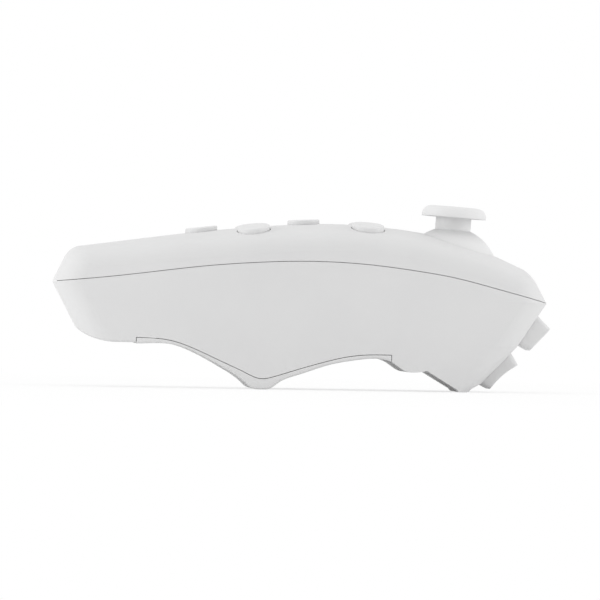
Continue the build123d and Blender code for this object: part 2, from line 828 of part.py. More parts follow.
with BuildPart(stick_plane) as cross_pin:
    with Locations(Location((0, 0, 0), (90, 0, 0))):
        Cylinder(cross_pin_radius, gimbal_width)
finish(cross_pin, "cross_pin")

# Gimbal ring: it rolls on two axles in the housing's walls and carries the shaft's cross pin
wall_face = module_width / 2
with BuildPart(stick_plane) as gimbal_ring:
    Box(gimbal_length, gimbal_width, gimbal_height)
    with Locations(Location((0, 0, 0), (0, 90, 0))):
        Cylinder(axle_radius, 2 * wall_face)
    with Locations(Location((-wall_face, 0, 0), (0, -90, 0))):
        Cylinder(axle_radius, pot_thickness - module_wall, align=upright)
    Box(gimbal_window_length, gimbal_window_width, 2 * gimbal_height, mode=Mode.SUBTRACT)
    with Locations(Location((0, 0, 0), (90, 0, 0))):
        Cylinder(cross_pin_radius + axle_play, 2 * gimbal_width, mode=Mode.SUBTRACT)
finish(gimbal_ring, "gimbal_ring")

with BuildPart(stick_plane) as stick_housing:
    brick((-wall_face, wall_face), (-wall_face, wall_face), (module_bottom, module_top))
    inside = wall_face - module_wall
    inside_height = (module_bottom + module_wall, module_top - module_wall)
    brick((-inside, inside), (-inside, inside), inside_height, Mode.SUBTRACT)
    post(0, 0, 0, module_top, module_mouth, Mode.SUBTRACT)
    with Locations(Location((0, 0, 0), (0, 90, 0))):
        Cylinder(axle_radius + axle_play, 3 * wall_face, mode=Mode.SUBTRACT)
finish(stick_housing, "stick_housing")

socket_reach = pot_thickness - module_wall + axle_play
with BuildPart(stick_plane) as roll_potentiometer:
    brick(
        (-wall_face - pot_thickness, -wall_face),
        (-pot_width / 2, pot_width / 2),
        (module_bottom, pot_width / 2 - module_wall),
    )
    with Locations(Location((-wall_face, 0, 0), (0, -90, 0))):
        Cylinder(axle_radius + axle_play, socket_reach, align=upright, mode=Mode.SUBTRACT)
finish(roll_potentiometer, "roll_potentiometer")

with BuildPart(stick_plane) as pitch_potentiometer:
    brick(
        (-pot_width / 2, pot_width / 2),
        (wall_face, wall_face + pot_thickness),
        (module_bottom, pot_width / 2 - module_wall),
    )
finish(pitch_potentiometer, "pitch_potentiometer")

plunger_top = -shaft_ball - shaft_play
with BuildPart(stick_plane) as centring_plunger:
    post(0, 0, plunger_top - plunger_height, plunger_top, plunger_radius)
finish(centring_plunger, "centring_plunger")

with BuildPart(stick_plane) as centring_spring:
    spring_low = module_bottom + module_wall
    post(0, 0, spring_low, plunger_top - plunger_height, spring_radius)
    post(0, 0, spring_low, plunger_top - plunger_height, spring_radius - spring_wire, Mode.SUBTRACT)
finish(centring_spring, "centring_spring")

with BuildPart(stick_plane) as stick_board:
    brick(
        (-stick_board_length / 2, stick_board_length / 2),
        (-stick_board_width / 2, stick_board_width / 2),
        (stick_board_bottom, stick_board_top),
    )
    for x, y in stick_posts:
        hole_radius = small_screw_radius + thread_play
        post(x, y, stick_board_bottom, stick_board_top, hole_radius, Mode.SUBTRACT)
finish(stick_board, "stick_board")

# Triggers: a capped shank that slides square to the trigger board, with a flange behind the wall
dome_end = -trigger_board_depth + pad_sheet + trigger_dome_height
for name, (face_points, hollow, depth) in trigger_shapes.items():
    low, high = trigger_stretch(face_points)
    first, last = face_points[0], face_points[-1]
    outer_low, outer_high = face_points[1], face_points[2]
    middle = ((outer_low[0] + outer_high[0]) / 2, (outer_low[1] + outer_high[1]) / 2 - hollow)
    with BuildPart() as trigger:
        with BuildSketch(trigger_side):
            with BuildLine():
                Polyline(outer_low, first, (low, -depth), (high, -depth), last, outer_high)
                if hollow:
                    ThreePointArc(outer_low, middle, outer_high)
                else:
                    Line(outer_low, outer_high)
            make_face()
        extrude(amount=trigger_width / 2, both=True)
        outward = trigger_plane.z_dir
        corners = trigger.edges().filter_by(
            lambda edge: abs((edge @ 1 - edge @ 0).normalized().dot(outward)) > 0.7
        )
        fillet(corners, trigger_corner)
        face_edges = trigger.faces().sort_by(Axis(trigger_plane.origin, outward))[-1].edges()
        fillet(face_edges, trigger_edge)
        flange_low = low + (trigger_edge if hollow else -trigger_flange)
        brick(
            (flange_low, high + trigger_flange),
            (-trigger_width / 2 - trigger_flange, trigger_width / 2 + trigger_flange),
            (-depth - trigger_flange_height, -depth),
            frame=trigger_plane,
        )
        stem_top = -depth - trigger_flange_height
        post((low + high) / 2, 0, dome_end, stem_top, trigger_stem_radius, frame=trigger_plane)
    finish(trigger, name)

trigger_middles = [sum(trigger_stretch(shape[0])) / 2 for shape in trigger_shapes.values()]
with BuildPart() as trigger_pad:
    sheet_half = trigger_width / 2 + trigger_flange
    sheet_top = -trigger_board_depth + pad_sheet
    brick(
        (trigger_board_low, trigger_board_high),
        (-sheet_half, sheet_half),
        (-trigger_board_depth, sheet_top),
        frame=trigger_plane,
    )
    for s_middle in trigger_middles:
        with Locations(trigger_plane.location * Location((s_middle, 0, sheet_top))):
            Cone(dome_foot_radius, dome_top_radius, trigger_dome_height, align=upright)
    for s_middle in trigger_middles:
        with Locations(trigger_plane.location * Location((s_middle, 0, -trigger_board_depth))):
            Cone(
                dome_foot_radius - pad_wall,
                dome_top_radius - pad_wall,
                pad_sheet + trigger_dome_height - dome_floor,
                align=upright,
                mode=Mode.SUBTRACT,
            )
finish(trigger_pad, "trigger_pad")

with BuildPart() as trigger_board:
    brick(
        (trigger_board_low, trigger_board_high),
        (-trigger_board_width / 2, trigger_board_width / 2),
        (-trigger_board_depth - trigger_board_thickness, -trigger_board_depth),
        frame=trigger_plane,
    )
    for side in (1, -1):
        hole_low = -trigger_board_depth - trigger_board_thickness
        hole_radius = small_screw_radius + thread_play
        post(trigger_post_s, side * trigger_post_y, hole_low, -trigger_board_depth, hole_radius,
             Mode.SUBTRACT, trigger_plane)
finish(trigger_board, "trigger_board")

# Cells: the left one points forward and the right one back
bay_middle = (bay_rear_x + bay_front_x) / 2
for name, side in (("battery_cell_left", 1), ("battery_cell_right", -1)):
    nub_end = bay_middle + side * (bay_front_x - contact_thickness - contact_play - bay_middle)
    can_end = nub_end - side * cell_nub_length
    can_start = can_end - side * cell_length
    with BuildPart() as cell:
        with Locations(Location(((can_start + can_end) / 2, side * cell_spacing / 2, cell_z), (0, 90, 0))):
            Cylinder(cell_radius, cell_length)
        fillet(cell.edges().filter_by(GeomType.CIRCLE), cell_edge)
        with Locations(Location(((can_end + nub_end) / 2, side * cell_spacing / 2, cell_z), (0, 90, 0))):
            Cylinder(cell_nub_radius, cell_nub_length)
    finish(cell, name)

# Coil springs press on each cell's flat end
spring_rise = spring_length - 2 * spring_wire_radius
spring_starts = {
    "left_battery_spring": (bay_rear_x + contact_thickness, cell_spacing / 2),
    "right_battery_spring": (bay_front_x - contact_thickness - spring_length, -cell_spacing / 2),
}
for name, (x, y) in spring_starts.items():
    with BuildPart() as battery_spring:
        with BuildLine() as coil:
            Helix(
                spring_rise / spring_turns,
                spring_rise,
                spring_coil_radius,
                center=(x + spring_wire_radius, y, cell_z),
                direction=(1, 0, 0),
            )
        with BuildSketch(Plane(origin=coil.line @ 0, z_dir=coil.line % 0)):
            Circle(spring_wire_radius)
        sweep(path=coil.line, is_frenet=True)
    finish(battery_spring, name)

with BuildPart() as rear_contact:
    brick(
        (bay_rear_x, bay_rear_x + contact_thickness),
        (-cell_spacing / 2 - contact_half, cell_spacing / 2 + contact_half),
        (cell_z - contact_half, cell_z + contact_half),
    )
finish(rear_contact, "rear_contact")

# Front contacts, each with a tail through the bay's roof to its wire
tail_top = bay_roof + bay_wall + contact_tail
for name, side in (("left_front_contact", 1), ("right_front_contact", -1)):
    middle = side * cell_spacing / 2
    contact_x = (bay_front_x - contact_thickness, bay_front_x)
    with BuildPart() as contact:
        brick(
            contact_x,
            (middle - contact_half, middle + contact_half),
            (cell_z - contact_half, cell_z + contact_half),
        )
        brick(contact_x, (middle - tail_width / 2, middle + tail_width / 2), (cell_z, tail_top))
    finish(contact, name)

for name, side in (("red_battery_wire", 1), ("black_battery_wire", -1)):
    wire_x = bay_front_x - contact_thickness / 2
    near_y = side * cell_spacing / 2
    far_y = near_y + side * wire_shift
    middle_z = (tail_top + board_bottom) / 2
    with BuildPart() as wire:
        with BuildLine() as route:
            FilletPolyline(
                (wire_x, near_y, tail_top),
                (wire_x, near_y, middle_z),
                (wire_x, far_y, middle_z),
                (wire_x, far_y, board_bottom),
                radius=wire_bend,
            )
        with BuildSketch(Plane(origin=route.line @ 0, z_dir=route.line % 0)):
            Circle(wire_radius)
        sweep(path=route.line)
    finish(wire, name)

# Ribbons from the two small boards to the connectors under the main board
ribbon_starts = {
    "trigger_ribbon": (trigger_plane, -6.0, -trigger_board_depth - trigger_board_thickness, 4.4, -1),
    "stick_ribbon": (stick_plane, -7.0, stick_board_bottom, 3.0, 1),
}
for name, (frame, along, face_level, drop, side) in ribbon_starts.items():
    start = frame.from_local_coords((along, 0, face_level))
    bend = frame.from_local_coords((along, 0, face_level - drop))
    end_z = board_bottom - connector_height / 2
    with BuildPart() as ribbon:
        with BuildSketch(Plane.XZ.offset(-side * ribbon_y - ribbon_width / 2)):
            with BuildLine():
                FilletPolyline(
                    (start.X, start.Z),
                    (bend.X, bend.Z),
                    (ribbon_rise_x, bend.Z),
                    (ribbon_rise_x, end_z),
                    (ribbon_end_x, end_z),
                    radius=ribbon_bend,
                )
            trace(line_width=ribbon_thickness)
        extrude(amount=ribbon_width)
    finish(ribbon, name)


def screw(x, y, seat, radius, head_radius, length, frame=Plane.XY):
    """A screw driven upwards in the given frame, with its head below the seat."""
    post(x, y, seat - head_height, seat, head_radius, frame=frame)
    post(x, y, seat, seat + length, radius, frame=frame)
    socket_top = seat - head_height + socket_depth
    post(x, y, seat - head_height, socket_top, socket_radius, Mode.SUBTRACT, frame)


with BuildPart() as housing_screws:
    for x, y, seat in shell_screw_spots:
        screw(x, y, seat, big_screw_radius, big_screw_head, big_screw_length)
finish(housing_screws, "housing_screws")

with BuildPart() as main_board_screws:
    for x, y in board_screw_spots:
        screw(x, y, board_bottom, small_screw_radius, small_screw_head, small_screw_length)
finish(main_board_screws, "main_board_screws")

with BuildPart() as stick_board_screws:
    for x, y in stick_posts:
        screw(x, y, stick_board_bottom, small_screw_radius, small_screw_head, small_screw_length, stick_plane)
finish(stick_board_screws, "stick_board_screws")

with BuildPart() as trigger_board_screws:
    for side in (1, -1):
        seat = -trigger_board_depth - trigger_board_thickness
        screw(
            trigger_post_s, side * trigger_post_y, seat, small_screw_radius, small_screw_head,
            small_screw_length, trigger_plane,
        )
finish(trigger_board_screws, "trigger_board_screws")
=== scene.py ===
import math

import bmesh
import bpy
from mathutils import Matrix, Vector


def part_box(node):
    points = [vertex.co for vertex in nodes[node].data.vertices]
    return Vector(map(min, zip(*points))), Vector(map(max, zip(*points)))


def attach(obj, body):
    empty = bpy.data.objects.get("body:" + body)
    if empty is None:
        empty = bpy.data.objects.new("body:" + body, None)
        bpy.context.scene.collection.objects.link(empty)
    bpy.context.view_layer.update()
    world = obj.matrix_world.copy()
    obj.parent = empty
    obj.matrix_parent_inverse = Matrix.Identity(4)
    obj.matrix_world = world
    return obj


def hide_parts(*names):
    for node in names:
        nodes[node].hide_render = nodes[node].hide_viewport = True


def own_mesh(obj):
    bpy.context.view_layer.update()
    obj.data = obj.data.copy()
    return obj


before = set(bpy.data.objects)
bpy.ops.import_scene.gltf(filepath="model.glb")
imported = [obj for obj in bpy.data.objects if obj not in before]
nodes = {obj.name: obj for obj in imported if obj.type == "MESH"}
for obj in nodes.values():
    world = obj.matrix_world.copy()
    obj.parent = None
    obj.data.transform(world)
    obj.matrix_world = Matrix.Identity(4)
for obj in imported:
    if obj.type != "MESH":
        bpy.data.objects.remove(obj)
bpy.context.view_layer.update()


# Table and studio: a pale matt sheet that the remote stands on, seen by the camera as plain white paper,
# in an even white room. The camera looks across the remote from its right-hand side, level with it and
# turned a little towards the rear.

def worked(tree, operation, *values):
    """The result of a math node on numbers and on other nodes' outputs."""
    step = tree.nodes.new("ShaderNodeMath")
    step.operation = operation
    for socket, value in zip(step.inputs, values):
        if isinstance(value, (int, float)):
            socket.default_value = value
        else:
            tree.links.new(value, socket)
    return step.outputs[0]


def backdrop_rays(tree):
    """1 for the rays that should find a plain white backdrop: seen directly, in gloss or through glass."""
    rays = tree.nodes.new("ShaderNodeLightPath").outputs
    direct = worked(tree, "MAXIMUM", rays["Is Camera Ray"], rays["Is Transmission Ray"])
    return worked(tree, "MAXIMUM", direct, rays["Is Glossy Ray"])


def new_finish(name):
    """A new material, its node tree and its shader."""
    material = bpy.data.materials.new(name)
    material.use_nodes = True
    return material, material.node_tree, material.node_tree.nodes["Principled BSDF"]


def paper(name, near, far, near_glow):
    """White paper that shows the object's shadow close by and fades to plain white further off."""
    material, tree, lit = new_finish(name)
    node = tree.nodes.new
    link = tree.links.new
    lit.inputs["Base Color"].default_value = (0.94, 0.94, 0.94, 1)
    lit.inputs["Roughness"].default_value = 0.9
    glow = node("ShaderNodeEmission")
    glow.inputs["Color"].default_value = (1, 1, 1, 1)
    place = node("ShaderNodeTexCoord")
    away = node("ShaderNodeVectorMath")
    away.operation = "LENGTH"
    link(place.outputs["Object"], away.inputs[0])
    fade = node("ShaderNodeMapRange")
    fade.interpolation_type = "SMOOTHSTEP"
    fade.inputs["From Min"].default_value = near
    fade.inputs["From Max"].default_value = far
    fade.inputs["To Min"].default_value = near_glow
    fade.inputs["To Max"].default_value = 1.0
    link(away.outputs["Value"], fade.inputs["Value"])
    sheet = node("ShaderNodeMixShader")
    link(worked(tree, "MULTIPLY", backdrop_rays(tree), fade.outputs["Result"]), sheet.inputs["Fac"])
    link(lit.outputs[0], sheet.inputs[1])
    link(glow.outputs[0], sheet.inputs[2])
    link(sheet.outputs[0], tree.nodes["Material Output"].inputs["Surface"])
    return material


room = bpy.data.worlds.new("studio")
bpy.context.scene.world = room
room.use_nodes = True
tree = room.node_tree
sky = tree.nodes["Background"]
sky.inputs["Color"].default_value = (1, 1, 1, 1)
sky.inputs["Strength"].default_value = 0.84
white = tree.nodes.new("ShaderNodeBackground")
white.inputs["Color"].default_value = (1, 1, 1, 1)
blend = tree.nodes.new("ShaderNodeMixShader")
tree.links.new(backdrop_rays(tree), blend.inputs["Fac"])
tree.links.new(sky.outputs[0], blend.inputs[1])
tree.links.new(white.outputs[0], blend.inputs[2])
tree.links.new(blend.outputs[0], tree.nodes["World Output"].inputs["Surface"])

table_mesh = bpy.data.meshes.new("table")
table_sheet = bmesh.new()
bmesh.ops.create_grid(table_sheet, x_segments=2, y_segments=2, size=3.0)
table_sheet.to_mesh(table_mesh)
table_sheet.free()
table = bpy.data.objects.new("table", table_mesh)
bpy.context.scene.collection.objects.link(table)
table_mesh.materials.append(paper("table_paper", near=0.08, far=0.35, near_glow=0.7))


def softbox(name, place, target, size, watts):
    """A square area lamp that faces its target."""
    lamp = bpy.data.lights.new(name, "AREA")
    lamp.shape = "SQUARE"
    lamp.size = size
    lamp.energy = watts
    holder = bpy.data.objects.new(name, lamp)
    bpy.context.scene.collection.objects.link(holder)
    holder.location = place
    holder.rotation_euler = (Vector(target) - Vector(place)).to_track_quat("-Z", "Y").to_euler()


softbox("overhead", place=(0.0, 0.0, 0.8), target=(0.0, 0.0, 0.02), size=0.9, watts=1.1)
softbox("rear_lamp", place=(-0.8, -0.1, 0.08), target=(-0.05, 0.0, 0.02), size=0.5, watts=2.4)
softbox("nose_lamp", place=(0.8, -0.1, 0.08), target=(0.05, 0.0, 0.02), size=0.5, watts=1.7)

camera_data = bpy.data.cameras.new("camera")
camera_data.sensor_fit = "HORIZONTAL"
camera_data.sensor_width = 36.0
camera = bpy.data.objects.new("camera", camera_data)
bpy.context.scene.collection.objects.link(camera)
bpy.context.scene.camera = camera
distance = 2.0
frame_width = 0.1569
camera_data.lens = 36.0 * distance / frame_width
camera_data.clip_start = 0.01
yaw = math.radians(3.0)
rise = math.radians(0.0)
roll = math.radians(0.94)
centre = Vector((-0.0002, 0.0, 0.0233))
sight = Vector((math.sin(yaw) * math.cos(rise), math.cos(yaw) * math.cos(rise), math.sin(rise)))
camera.location = centre - distance * sight
camera.rotation_euler = (
    sight.to_track_quat("-Z", "Y") @ Matrix.Rotation(roll, 3, "Z").to_quaternion()
).to_euler()


# Shells and battery cover: injection-moulded white plastic with a fine spark-eroded texture, so that it
# looks matt and hides finger marks. The two shells meet at an arched seam, where a lip on the lower one
# sits in a rebate in the upper one, and the cover wraps the underside.

def empty_recipe(kind, name, inputs, outputs):
    """An empty node group, the values that it is given and the results that it has to fill in."""
    group = bpy.data.node_groups.new(name, kind)
    for way, sockets in (("INPUT", inputs), ("OUTPUT", outputs)):
        for socket, content in sockets.items():
            group.interface.new_socket(socket, in_out=way, socket_type="NodeSocket" + content)
    return group, group.nodes.new("NodeGroupInput").outputs, group.nodes.new("NodeGroupOutput").inputs


def grain_group():
    """Fine moulded texture: a colour that varies a little, a roughness and a normal."""
    grain_roughness = 0.12
    group, given, result = empty_recipe(
        "ShaderNodeTree", "moulded_grain",
        inputs={
            "Colour": "Color", "Variation": "Float", "Roughness": "Float",
            "Grain Size": "Float", "Relief": "Float",
        },
        outputs={"Colour": "Color", "Roughness": "Float", "Normal": "Vector"},
    )
    node = group.nodes.new
    link = group.links.new
    place = node("ShaderNodeTexCoord")
    grain = node("ShaderNodeTexNoise")
    grain.inputs["Detail"].default_value = 2.0
    link(place.outputs["Object"], grain.inputs["Vector"])
    link(worked(group, "DIVIDE", 1.0, given["Grain Size"]), grain.inputs["Scale"])
    cloud = node("ShaderNodeTexNoise")
    cloud.inputs["Scale"].default_value = 60.0
    cloud.inputs["Detail"].default_value = 3.0
    link(place.outputs["Object"], cloud.inputs["Vector"])
    spread = node("ShaderNodeMapRange")
    spread.inputs["From Min"].default_value = 0.3
    spread.inputs["From Max"].default_value = 0.7
    spread.inputs["To Min"].default_value = 0.0
    link(cloud.outputs["Fac"], spread.inputs["Value"])
    link(given["Variation"], spread.inputs["To Max"])
    shade = node("ShaderNodeMix")
    shade.data_type = "RGBA"
    shade.blend_type = "MULTIPLY"
    shade.inputs["B"].default_value = (0.8, 0.8, 0.82, 1)
    link(spread.outputs["Result"], shade.inputs["Factor"])
    link(given["Colour"], shade.inputs["A"])
    link(shade.outputs["Result"], result["Colour"])
    rough = worked(group, "MULTIPLY_ADD", grain.outputs["Fac"], grain_roughness, given["Roughness"])
    link(rough, result["Roughness"])
    bump = node("ShaderNodeBump")
    bump.inputs["Strength"].default_value = 0.5
    link(given["Relief"], bump.inputs["Distance"])
    link(grain.outputs["Fac"], bump.inputs["Height"])
    link(bump.outputs["Normal"], result["Normal"])
    return group


moulded_grain = grain_group()


def moulded_plastic(name, colour, roughness, grain_size, relief, variation=0.12):
    """Plastic straight from the mould, with its grain."""
    material, tree, shader = new_finish(name)
    grain = tree.nodes.new("ShaderNodeGroup")
    grain.node_tree = moulded_grain
    grain.inputs["Colour"].default_value = (*colour, 1)
    grain.inputs["Roughness"].default_value = roughness
    grain.inputs["Grain Size"].default_value = grain_size
    grain.inputs["Relief"].default_value = relief
    grain.inputs["Variation"].default_value = variation
    tree.links.new(grain.outputs["Colour"], shader.inputs["Base Color"])
    tree.links.new(grain.outputs["Roughness"], shader.inputs["Roughness"])
    tree.links.new(grain.outputs["Normal"], shader.inputs["Normal"])
    return material


def dress(node, material):
    """Gives a CAD node its finish."""
    finishes = nodes[node].data.materials
    finishes.clear()
    finishes.append(material)


shell_plastic = moulded_plastic(
    "shell_plastic", (0.72, 0.72, 0.72), roughness=0.62, grain_size=0.00032, relief=0.00001,
)
for node in ("upper_shell", "lower_shell", "battery_cover"):
    dress(node, shell_plastic)


# Buttons and triggers: the same plastic from a smoother mould, so they are a touch brighter. Six round
# buttons follow the crown, and two triggers stand one above the other on the front face.

button_plastic = moulded_plastic(
    "button_plastic", (0.74, 0.74, 0.74), roughness=0.42, grain_size=0.0003, relief=0.000006,
)
for node in (
    "diamond_rear_button", "diamond_left_button", "diamond_right_button", "diamond_front_button",
    "menu_left_button", "menu_right_button", "upper_trigger", "lower_trigger",
):
    dress(node, button_plastic)


# Thumbstick: cap, stalk and dome in one matt moulding with a slightly rougher grip, pressed onto the
# shaft of its module.

stick_plastic = moulded_plastic(
    "stick_plastic", (0.77, 0.77, 0.77), roughness=0.55, grain_size=0.0004, relief=0.000014,
)
dress("thumbstick", stick_plastic)


# Mode switch: a ridged grey slide knob in the left wall, with a tongue that sits in the fork of a small
# black slide switch under the board's edge.

dress("mode_switch_knob", moulded_plastic(
    "knob_plastic", (0.42, 0.42, 0.43), roughness=0.5, grain_size=0.0003, relief=0.00001,
))
dress("mode_switch", moulded_plastic(
    "switch_nylon", (0.03, 0.03, 0.032), roughness=0.45, grain_size=0.0002, relief=0.000006,
))


# Status light: a small diode on the board in a pale resin block, and a milky acrylic pipe that carries
# its light up to the surface.

dress("status_led", moulded_plastic(
    "diode_resin", (0.7, 0.66, 0.42), roughness=0.25, grain_size=0.0002, relief=0.000002, variation=0.5,
))
acrylic = moulded_plastic(
    "milky_acrylic", (0.9, 0.92, 0.94), roughness=0.12, grain_size=0.0004, relief=0.0000005, variation=0.05,
)
acrylic_shader = acrylic.node_tree.nodes["Principled BSDF"]
acrylic_shader.inputs["Transmission Weight"].default_value = 0.45
acrylic_shader.inputs["IOR"].default_value = 1.49
dress("light_pipe", acrylic)


# Silicone keypads: one sheet under the six buttons and one under the triggers, with a hollow dome for every
# key and a conductive pill inside the dome.

def flat_plate(name, outline, holes, low, high):
    """A flat sheet between two levels, with round holes."""
    hole_sides = 40
    drawing = bpy.data.curves.new(name, "CURVE")
    drawing.dimensions = "2D"
    drawing.fill_mode = "BOTH"
    drawing.extrude = (high - low) / 2
    loops = [outline]
    for x, y, radius in holes:
        turns = [2 * math.pi * step / hole_sides for step in range(hole_sides)]
        loops.append([(x + radius * math.cos(turn), y + radius * math.sin(turn)) for turn in turns])
    for loop in loops:
        spline = drawing.splines.new("POLY")
        spline.points.add(len(loop) - 1)
        for point, (x, y) in zip(spline.points, loop):
            point.co = (x, y, 0, 1)
        spline.use_cyclic_u = True
    holder = bpy.data.objects.new(name, drawing)
    bpy.context.scene.collection.objects.link(holder)
    depsgraph = bpy.context.evaluated_depsgraph_get()
    mesh = bpy.data.meshes.new_from_object(holder.evaluated_get(depsgraph))
    bpy.data.objects.remove(holder)
    plate = bmesh.new()
    plate.from_mesh(mesh)
    bmesh.ops.remove_doubles(plate, verts=plate.verts, dist=1e-7)
    bmesh.ops.recalc_face_normals(plate, faces=plate.faces)
    plate.to_mesh(mesh)
    plate.free()
    mesh.transform(Matrix.Translation((0, 0, (low + high) / 2)))
    return mesh


def rounded_outline(x_range, y_range, radius):
    """Points round a rectangle whose corners are small arcs."""
    corner_steps = 8
    points = []
    for x, y, start in (
        (x_range[1] - radius, y_range[1] - radius, 0),
        (x_range[0] + radius, y_range[1] - radius, 90),
        (x_range[0] + radius, y_range[0] + radius, 180),
        (x_range[1] - radius, y_range[0] + radius, 270),
    ):
        for step in range(corner_steps + 1):
            turn = math.radians(start + 90 * step / corner_steps)
            points.append((x + radius * math.cos(turn), y + radius * math.sin(turn)))
    return points


def turned(name, profile):
    """A closed shape turned round Z from (radius, height) pairs that start and end on the axis."""
    sides = 48
    shape = bmesh.new()
    rings = []
    for radius, height in profile:
        count = sides if radius else 1
        turns = [2 * math.pi * step / count for step in range(count)]
        ring = [(radius * math.cos(turn), radius * math.sin(turn), height) for turn in turns]
        rings.append([shape.verts.new(place) for place in ring])
    for lower, upper in zip(rings, rings[1:]):
        for i in range(sides):
            j = (i + 1) % sides
            below = [lower[i % len(lower)], lower[j % len(lower)]]
            above = [upper[j % len(upper)], upper[i % len(upper)]]
            shape.faces.new(list(dict.fromkeys(below + above)))
    bmesh.ops.recalc_face_normals(shape, faces=shape.faces)
    mesh = bpy.data.meshes.new(name)
    shape.to_mesh(mesh)
    shape.free()
    return mesh


def add_piece(name, mesh, body, materials, replaced):
    """Hangs a finished mesh on its body, with its finish and the CAD nodes that it stands for."""
    piece = bpy.data.objects.new(name, mesh)
    bpy.context.scene.collection.objects.link(piece)
    for material in materials:
        mesh.materials.append(material)
    mesh.polygons.foreach_set("use_smooth", [True] * len(mesh.polygons))
    mesh.set_sharp_from_angle(angle=math.radians(35))
    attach(piece, body)
    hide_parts(*replaced)
    return piece


dome_top = 0.0025
dome_foot = 0.004
dome_bore = 0.0028
dome_roof = 0.001
dome_corner = 0.00025
pill_radius = 0.0018
pill_thickness = 0.00015


def dome_mesh(name, height):
    """A hollow dome that stands on its sheet, with a flat top and the pill under it."""
    floor = height - dome_roof
    pill = floor - pill_thickness
    mesh = turned(name, [
        (0, height), (dome_top - 0.0003, height), (dome_top, height - 0.00012),
        (dome_top + dome_corner, height - 0.0004), (dome_foot - dome_corner, 0.0002), (dome_foot, 0),
        (dome_bore, 0), (pill_radius + dome_corner, floor),
        (pill_radius, floor), (pill_radius, pill), (0, pill),
    ])
    for face in mesh.polygons:
        inside = face.center.xy.length < pill_radius + 0.0001
        face.material_index = int(inside and face.center.z < floor - 0.00001)
    return mesh


silicone = moulded_plastic(
    "keypad_silicone", (0.5, 0.51, 0.53), roughness=0.6, grain_size=0.0006, relief=0.000004, variation=0.15,
)
carbon = moulded_plastic(
    "carbon_pill", (0.02, 0.02, 0.02), roughness=0.5, grain_size=0.0002, relief=0.000002, variation=0.1,
)
sheet_thickness = 0.0008
sheet_corner = 0.001
diamond_x = -0.013
menu_x = 0.0168
button_pitch = 0.01335
button_side = 0.009
key_spots = {
    "diamond_rear_press": (diamond_x - button_pitch, 0.0), "diamond_left_press": (diamond_x, button_side),
    "diamond_right_press": (diamond_x, -button_side), "diamond_front_press": (diamond_x + button_pitch, 0.0),
    "menu_left_press": (menu_x, button_side), "menu_right_press": (menu_x, -button_side),
}
key_dome = 0.0018
sheet_start, sheet_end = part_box("keypad")
pad_level = sheet_start[2] + sheet_thickness
board_screw_spots = [(-0.0375, 0.0085), (-0.0375, -0.0085), (0.002, 0.0105), (0.002, -0.0105)]
pillar_spot = (0.0188, 0.0)
light_spot = (0.0087, 0.0)
screw_hole = 0.0026
pillar_hole = 0.003
light_hole = 0.0015
boss_holes = [(x, y, screw_hole) for x, y in board_screw_spots if x > sheet_start[0]]
boss_holes += [(*pillar_spot, pillar_hole), (*light_spot, light_hole)]
keypad_sheet = flat_plate(
    "keypad_sheet",
    rounded_outline((sheet_start[0], sheet_end[0]), (sheet_start[1], sheet_end[1]), sheet_corner),
    [(x, y, dome_bore) for x, y in key_spots.values()] + boss_holes,
    low=sheet_start[2], high=pad_level,
)
add_piece("keypad_sheet", keypad_sheet, "housing", [silicone], ["keypad"])
for joint, (x, y) in key_spots.items():
    name = joint.replace("press", "dome")
    mesh = dome_mesh(name, key_dome)
    mesh.transform(Matrix.Translation((x, y, pad_level)))
    dome = add_piece(name, mesh, "housing", [silicone, carbon], ["keypad"])
    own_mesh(dome)


def tilted(origin, slope):
    """The frame of a tilted board: X runs up the slope and Z points out of the nose."""
    angle = math.radians(slope)
    out = Vector((math.sin(angle), 0, -math.cos(angle)))
    along = Vector((math.cos(angle), 0, math.sin(angle)))
    side = out.cross(along)
    return Matrix.Translation(origin) @ Matrix((along, side, out)).transposed().to_4x4()


front_slope = 45.4
front_centre = (0.0561, 0, 0.0119)
trigger_frame = tilted(front_centre, front_slope)
trigger_sheet_ends = (-0.0124, 0.0082)
trigger_sheet_side = 0.0079
trigger_sheet_level = -0.009
trigger_level = trigger_sheet_level + sheet_thickness
trigger_dome = 0.00158
trigger_spots = {"upper_trigger_pull": 0.005465, "lower_trigger_pull": -0.007775}
trigger_sheet = flat_plate(
    "trigger_sheet",
    rounded_outline(trigger_sheet_ends, (-trigger_sheet_side, trigger_sheet_side), sheet_corner),
    [(along, 0.0, dome_bore) for along in trigger_spots.values()],
    low=trigger_sheet_level, high=trigger_level,
)
trigger_sheet.transform(trigger_frame)
add_piece("trigger_sheet", trigger_sheet, "housing", [silicone], ["trigger_pad"])
for joint, along in trigger_spots.items():
    name = joint.replace("pull", "dome")
    mesh = dome_mesh(name, trigger_dome)
    mesh.transform(trigger_frame @ Matrix.Translation((along, 0, trigger_level)))
    dome = add_piece(name, mesh, "housing", [silicone, carbon], ["trigger_pad"])
    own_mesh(dome)


# Circuit boards: glass-fibre laminate under green solder mask, with copper tracks that show through the
# mask and small tinned pads. The main one lies under the buttons, and two small ones are tilted.

